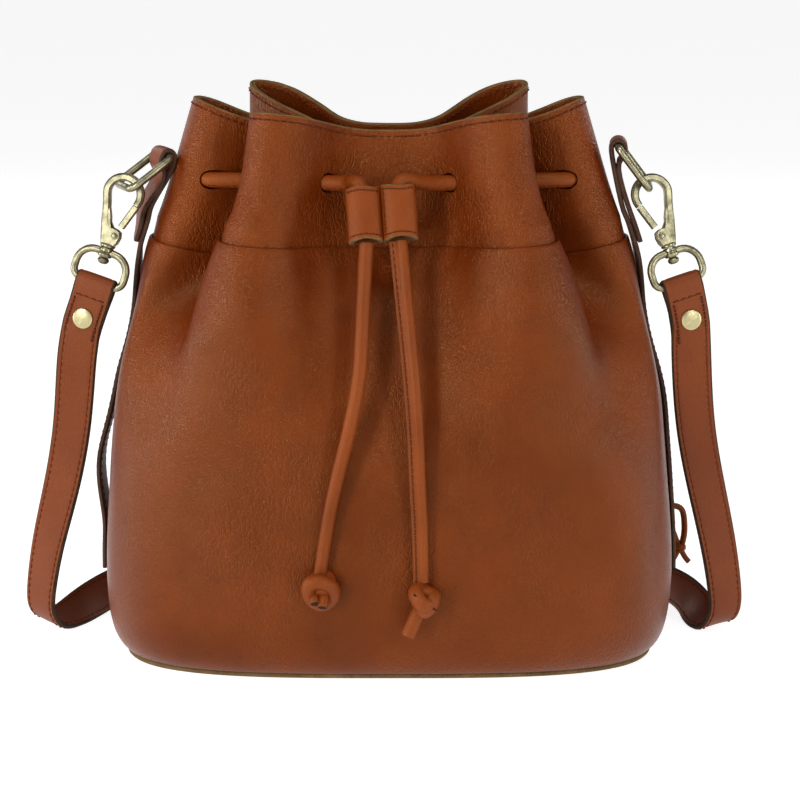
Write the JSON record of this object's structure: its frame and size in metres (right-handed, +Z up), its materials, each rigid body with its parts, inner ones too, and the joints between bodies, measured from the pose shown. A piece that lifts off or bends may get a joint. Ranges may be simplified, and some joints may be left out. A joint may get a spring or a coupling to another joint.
{
  "type": "drawstring bucket bag",
  "caption": "Soft leather bucket bag gathered by a drawstring with a slide toggle, on an oblong base, with side rings, snap hooks and a buckled shoulder strap.",
  "frame": {"origin": "middle of the base panel's underside, where the bag stands", "axes": "+Z up, +X along the bag's width to the right as its front is seen, the front with the toggle faces -Y"},
  "size_m": [0.3773, 0.197, 0.2859],
  "materials": {
    "bag_leather": "satin pebbled",
    "strap_leather": "satin",
    "edge_leather": "satin with dark cut edges",
    "cord_leather": "satin",
    "lining_cloth": "matt cotton twill",
    "zip_cloth": "matt woven tape",
    "board": "matt",
    "antique_brass": "antique satin"
  },
  "bodies": {
    "root": {"back_facing": "bag_leather", "back_panel": "bag_leather", "back_yoke": "bag_leather", "base_board": "board", "base_panel": "bag_leather", "base_welt": "edge_leather", "buckle_frame": "antique_brass", "cord_tail_left": "cord_leather", "cord_tail_right": "cord_leather", "drawstring": "cord_leather", "front_facing": "bag_leather", "front_panel": "bag_leather", "front_yoke": "bag_leather", "knot_left": "cord_leather", "knot_right": "cord_leather", "lining": "lining_cloth", "pocket_pouch": "lining_cloth", "side_band_left": "edge_leather", "side_band_right": "edge_leather", "strap_keeper": "strap_leather", "strap_left": "strap_leather", "strap_right": "strap_leather", "strap_rivet_left": "antique_brass", "strap_rivet_right": "antique_brass", "zip_stops": "antique_brass", "zip_tape": "zip_cloth", "zip_teeth": "antique_brass"},
    "ring_left": {"ring_left": "antique_brass"},
    "eye_left": {"clip_eye_left": "antique_brass"},
    "hook_left": {"clip_hook_left": "antique_brass", "gate_pin_left": "antique_brass", "gate_spring_left": "antique_brass"},
    "gate_left": {"clip_gate_left": "antique_brass"},
    "ring_right": {"ring_right": "antique_brass"},
    "eye_right": {"clip_eye_right": "antique_brass"},
    "hook_right": {"clip_hook_right": "antique_brass", "gate_pin_right": "antique_brass", "gate_spring_right": "antique_brass"},
    "gate_right": {"clip_gate_right": "antique_brass"},
    "toggle": {"toggle": "cord_leather"},
    "zip_slider": {"zip_slider": "antique_brass"},
    "zip_puller": {"zip_puller": "antique_brass", "zip_thong": "cord_leather", "zip_thong_knot": "cord_leather"},
    "buckle_prong": {"buckle_prong": "antique_brass"}
  },
  "joints": [
    {"name": "ring_left_swing", "type": "hinge", "parent": "root", "child": "ring_left", "pos_m": [-0.11224, -0.00053, 0.25198], "axis": [0.4067, -0.9135, 0], "range_deg": [0, 2]},
    {"name": "clip_left_tilt", "type": "hinge", "parent": "root", "child": "eye_left", "pos_m": [-0.1455, -0.0175, 0.191], "axis": [0.9385, -0.1697, -0.3007], "range_deg": [-1.2, 0]},
    {"name": "hook_left_swivel", "type": "hinge", "parent": "eye_left", "child": "hook_left", "pos_m": [-0.13917, -0.01601, 0.20991], "axis": [0.3164, 0.0744, 0.9457], "range_deg": [-1, 8]},
    {"name": "gate_left_open", "type": "hinge", "parent": "hook_left", "child": "gate_left", "pos_m": [-0.13571, -0.01598, 0.21404], "axis": [-0.1381, -0.9827, 0.1235], "range_deg": [0, 28], "stiffness_Nm_per_rad": 0.01, "springref_deg": -17.19},
    {"name": "ring_right_swing", "type": "hinge", "parent": "root", "child": "ring_right", "pos_m": [0.11438, -0.00074, 0.25703], "axis": [0.0872, 0.9962, 0], "range_deg": [0, 2.5]},
    {"name": "clip_right_tilt", "type": "hinge", "parent": "root", "child": "eye_right", "pos_m": [0.1455, -0.0165, 0.1907], "axis": [-0.9378, -0.2027, -0.2817], "range_deg": [-1.5, 0]},
    {"name": "hook_right_swivel", "type": "hinge", "parent": "eye_right", "child": "hook_right", "pos_m": [0.13911, -0.01272, 0.20927], "axis": [-0.3197, 0.1889, 0.9285], "range_deg": [-6, 4]},
    {"name": "gate_right_open", "type": "hinge", "parent": "hook_right", "child": "gate_right", "pos_m": [0.13563, -0.01218, 0.21335], "axis": [-0.135, 0.9608, -0.242], "range_deg": [0, 28], "stiffness_Nm_per_rad": 0.01, "springref_deg": -17.19},
    {"name": "toggle_slide", "type": "slide", "parent": "root", "child": "toggle", "axis": [0.0699, -0.3393, -0.9381], "range_m": [0, 0.016]},
    {"name": "zip_slide", "type": "slide", "parent": "root", "child": "zip_slider", "axis": [-0.1212, 0, 0.9926], "range_m": [0, 0.096], "deforming": ["zip_teeth"]},
    {"name": "zip_puller_lift", "type": "hinge", "parent": "zip_slider", "child": "zip_puller", "pos_m": [0.14286, 0.02217, 0.06842], "axis": [0.2868, -0.9573, 0.035], "range_deg": [0, 75]},
    {"name": "prong_lift", "type": "hinge", "parent": "root", "child": "buckle_prong", "pos_m": [-0.006, 0.101, 0.0135], "axis": [0, 0, 1], "range_deg": [0, 9]}
  ]
}
